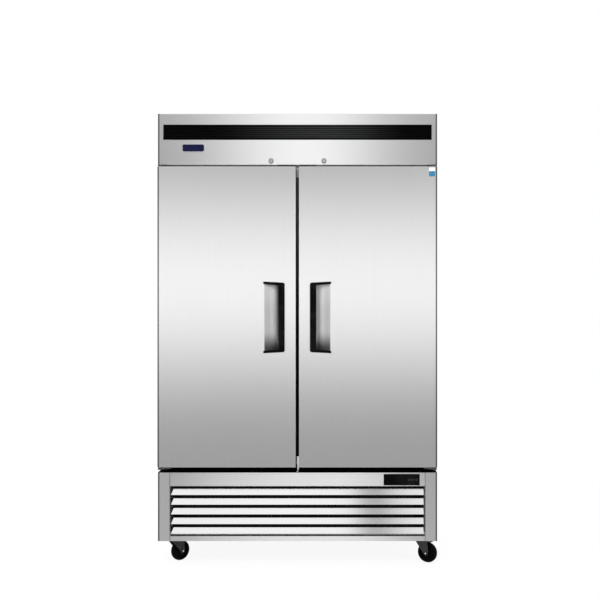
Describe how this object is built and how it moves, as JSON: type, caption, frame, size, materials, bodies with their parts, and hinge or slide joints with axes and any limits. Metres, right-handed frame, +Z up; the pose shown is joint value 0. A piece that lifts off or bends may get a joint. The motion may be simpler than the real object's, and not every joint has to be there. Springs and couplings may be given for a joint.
{
  "type": "reach in refrigerator",
  "caption": "Upright commercial refrigerator with side-hinged solid stainless doors, recessed black handles, a louvred machine base and swivel casters.",
  "frame": {"origin": "on the floor, under the middle of the cabinet's width and depth", "axes": "+Z up, doors and handles face -Y, +X to the right seen from the front"},
  "size_m": [1.315, 0.8, 2.11],
  "materials": {
    "stainless_vertical": "vertical grain, satin",
    "stainless_horizontal": "horizontal grain, satin",
    "galvanised": "galvanised grey sheet",
    "foam": "expanded foam",
    "liner_white": "stucco embossed",
    "black_plastic": "moulded black, fine texture",
    "gasket": "soft black extrusion",
    "chrome": "bright plated",
    "zinc": "zinc plated",
    "copper": "copper tube",
    "black_metal": "black enamel",
    "caster_black": "hard rubber",
    "lamp": "opal diffuser",
    "shelf_wire": "epoxy coated wire",
    "cord": "flexible cable"
  },
  "bodies": {
    "cabinet": {"side_panels": "stainless_vertical", "top_panel": "galvanised", "back_panel": "galvanised", "bottom_deck": "galvanised", "foam_insulation": "foam", "inner_liner": "liner_white", "door_frame": "stainless_vertical", "header_panel": "stainless_horizontal", "header_vent_grille": "black_plastic", "lock_barrels": "chrome", "base_chassis": "galvanised", "grille_frame": "stainless_horizontal", "louvre_panel": "stainless_horizontal", "controller_housing": "black_plastic", "rear_grille": "galvanised", "panel_screws": "zinc", "power_cord": "cord", "compressor": "black_metal", "condenser_coil": "liner_white", "condenser_fan_shroud": "galvanised", "condensate_pan": "galvanised", "refrigerant_lines": "copper", "evaporator_housing": "liner_white", "evaporator_coil": "liner_white", "interior_lamp": "lamp", "shelf_pilasters": "zinc", "shelf_clips": "zinc", "wire_shelves": "shelf_wire", "hinge_brackets": "zinc", "caster_plates": "zinc"},
    "door_left": {"door_left_skin": "stainless_vertical", "door_left_foam": "foam", "door_left_liner": "liner_white", "door_left_gasket": "gasket", "door_left_handle_trim": "black_plastic", "door_left_hinge_bushes": "black_plastic"},
    "lock_left": {"lock_plug_left": "chrome"},
    "evaporator_fan_left": {"evaporator_fan_left": "black_plastic"},
    "door_right": {"door_right_skin": "stainless_vertical", "door_right_foam": "foam", "door_right_liner": "liner_white", "door_right_gasket": "gasket", "door_right_handle_trim": "black_plastic", "door_right_hinge_bushes": "black_plastic"},
    "lock_right": {"lock_plug_right": "chrome"},
    "evaporator_fan_right": {"evaporator_fan_right": "black_plastic"},
    "condenser_fan": {"condenser_fan": "black_plastic"},
    "button_set": {"control_button_set": "black_plastic"},
    "button_down": {"control_button_down": "black_plastic"},
    "button_up": {"control_button_up": "black_plastic"},
    "caster_front_left": {"caster_fork_front_left": "black_metal"},
    "wheel_front_left": {"caster_wheel_front_left": "caster_black"},
    "brake_front_left": {"brake_pedal_front_left": "black_metal"},
    "caster_front_right": {"caster_fork_front_right": "black_metal"},
    "wheel_front_right": {"caster_wheel_front_right": "caster_black"},
    "brake_front_right": {"brake_pedal_front_right": "black_metal"},
    "caster_rear_left": {"caster_fork_rear_left": "black_metal"},
    "wheel_rear_left": {"caster_wheel_rear_left": "caster_black"},
    "caster_rear_right": {"caster_fork_rear_right": "black_metal"},
    "wheel_rear_right": {"caster_wheel_rear_right": "caster_black"}
  },
  "joints": [
    {"name": "door_left_hinge", "type": "hinge", "parent": "cabinet", "child": "door_left", "pos_m": [-0.632, -0.37, 1.16], "axis": [0, 0, -1], "range_deg": [0, 120]},
    {"name": "lock_left_turn", "type": "hinge", "parent": "cabinet", "child": "lock_left", "pos_m": [-0.1234, -0.36, 1.89], "axis": [0, -1, 0], "range_deg": [0, 90]},
    {"name": "evaporator_fan_left_spin", "type": "hinge", "parent": "cabinet", "child": "evaporator_fan_left", "pos_m": [-0.28, -0.15, 1.958], "axis": [0, 1, 0], "continuous": true},
    {"name": "door_right_hinge", "type": "hinge", "parent": "cabinet", "child": "door_right", "pos_m": [0.632, -0.37, 1.16], "axis": [0, 0, 1], "range_deg": [0, 120]},
    {"name": "lock_right_turn", "type": "hinge", "parent": "cabinet", "child": "lock_right", "pos_m": [0.1234, -0.36, 1.89], "axis": [0, 1, 0], "range_deg": [0, 90]},
    {"name": "evaporator_fan_right_spin", "type": "hinge", "parent": "cabinet", "child": "evaporator_fan_right", "pos_m": [0.28, -0.15, 1.958], "axis": [0, 1, 0], "continuous": true},
    {"name": "condenser_fan_spin", "type": "hinge", "parent": "cabinet", "child": "condenser_fan", "pos_m": [0.13, -0.165, 0.27], "axis": [0, 1, 0], "continuous": true},
    {"name": "button_set_press", "type": "slide", "parent": "cabinet", "child": "button_set", "axis": [0, 1, 0], "range_m": [0, 0.001]},
    {"name": "button_down_press", "type": "slide", "parent": "cabinet", "child": "button_down", "axis": [0, 1, 0], "range_m": [0, 0.001]},
    {"name": "button_up_press", "type": "slide", "parent": "cabinet", "child": "button_up", "axis": [0, 1, 0], "range_m": [0, 0.001]},
    {"name": "caster_front_left_swivel", "type": "hinge", "parent": "cabinet", "child": "caster_front_left", "pos_m": [-0.587, -0.285, 0.11], "axis": [0, 0, 1], "continuous": true},
    {"name": "wheel_front_left_roll", "type": "hinge", "parent": "caster_front_left", "child": "wheel_front_left", "pos_m": [-0.56579, -0.26379, 0.0475], "axis": [-0.7071, 0.7071, 0], "continuous": true},
    {"name": "brake_front_left_press", "type": "hinge", "parent": "caster_front_left", "child": "brake_front_left", "pos_m": [-0.56579, -0.26379, 0.1035], "axis": [-0.7071, 0.7071, 0], "range_deg": [0, 12], "stiffness_Nm_per_rad": 0.5},
    {"name": "caster_front_right_swivel", "type": "hinge", "parent": "cabinet", "child": "caster_front_right", "pos_m": [0.587, -0.285, 0.11], "axis": [0, 0, 1], "continuous": true},
    {"name": "wheel_front_right_roll", "type": "hinge", "parent": "caster_front_right", "child": "wheel_front_right", "pos_m": [0.61298, -0.3, 0.0475], "axis": [0.5, 0.866, 0], "continuous": true},
    {"name": "brake_front_right_press", "type": "hinge", "parent": "caster_front_right", "child": "brake_front_right", "pos_m": [0.61298, -0.3, 0.1035], "axis": [0.5, 0.866, 0], "range_deg": [0, 12], "stiffness_Nm_per_rad": 0.5},
    {"name": "caster_rear_left_swivel", "type": "hinge", "parent": "cabinet", "child": "caster_rear_left", "pos_m": [-0.587, 0.285, 0.11], "axis": [0, 0, 1], "continuous": true},
    {"name": "wheel_rear_left_roll", "type": "hinge", "parent": "caster_rear_left", "child": "wheel_rear_left", "pos_m": [-0.61298, 0.27, 0.0475], "axis": [0.5, -0.866, 0], "continuous": true},
    {"name": "caster_rear_right_swivel", "type": "hinge", "parent": "cabinet", "child": "caster_rear_right", "pos_m": [0.587, 0.285, 0.11], "axis": [0, 0, 1], "continuous": true},
    {"name": "wheel_rear_right_roll", "type": "hinge", "parent": "caster_rear_right", "child": "wheel_rear_right", "pos_m": [0.56102, 0.3, 0.0475], "axis": [-0.5, -0.866, 0], "continuous": true}
  ]
}
